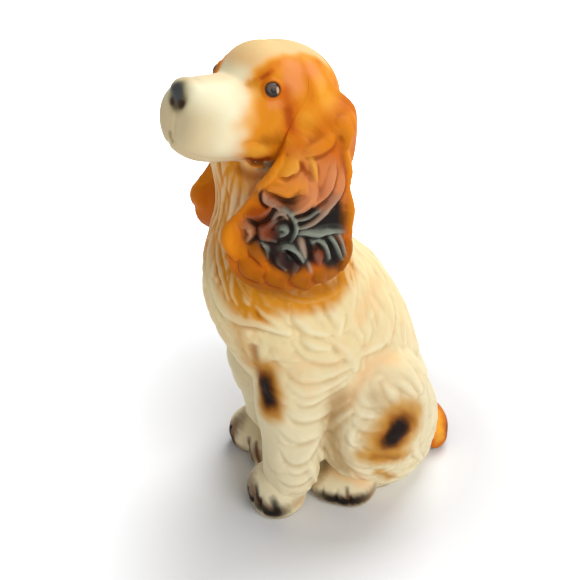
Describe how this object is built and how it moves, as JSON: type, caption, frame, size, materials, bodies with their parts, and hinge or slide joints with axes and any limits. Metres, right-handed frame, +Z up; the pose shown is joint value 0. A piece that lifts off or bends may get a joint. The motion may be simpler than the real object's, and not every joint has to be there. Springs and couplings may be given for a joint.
{
  "type": "seated spaniel figurine",
  "caption": "Seated spaniel ornament in slip-cast, airbrushed earthenware, with long curled ears, a wavy coat, glossy eyes and a flat underside to stand on.",
  "frame": {"origin": "on the flat underside of the body, under the middle of the dog, at the height of the surface it stands on", "axes": "+Z up, -Y the way the dog's chest faces, +X to the dog's left"},
  "size_m": [0.0884, 0.1185, 0.1988],
  "materials": {
    "cream_bisque": "satin, airbrushed",
    "orange_bisque": "satin, airbrushed",
    "eye_gloss": "gloss"
  },
  "bodies": {
    "root": {"body": "cream_bisque", "head": "cream_bisque", "left_ear": "orange_bisque", "right_ear": "orange_bisque", "left_foreleg": "cream_bisque", "right_foreleg": "cream_bisque", "left_forepaw": "cream_bisque", "right_forepaw": "cream_bisque", "left_hind_paw": "cream_bisque", "right_hind_paw": "cream_bisque", "tail": "orange_bisque", "left_eye": "eye_gloss", "right_eye": "eye_gloss"}
  },
  "joints": []
}
